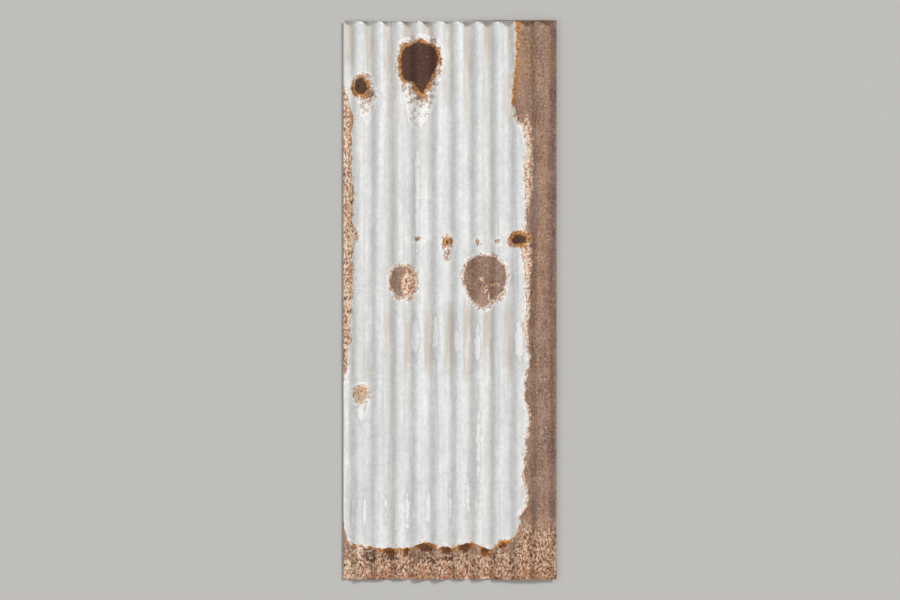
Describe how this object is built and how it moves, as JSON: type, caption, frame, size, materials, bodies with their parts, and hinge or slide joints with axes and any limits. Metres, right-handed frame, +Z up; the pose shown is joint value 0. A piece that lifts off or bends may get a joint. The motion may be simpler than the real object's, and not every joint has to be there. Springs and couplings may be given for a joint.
{
  "type": "corrugated metal sheet",
  "caption": "Weathered corrugated galvanised steel sheet with rust patches, a rust-eaten side and end, and nail holes, for fencing, roofing or cladding",
  "frame": {"origin": "centre of the sheet's length and width, at the level of the undersides of the hollows, where it rests on the floor", "axes": "Y runs along the sheet, parallel to the waves, with the rusted bottom end at -Y; X runs across the waves; Z is up, out of the face the picture shows"},
  "size_m": [0.813, 2.134, 0.019],
  "materials": {
    "galvanised_steel": "dull weathered zinc with patches and bands of brown rust"
  },
  "bodies": {
    "root": {"corrugated_sheet": "galvanised_steel"}
  },
  "joints": []
}
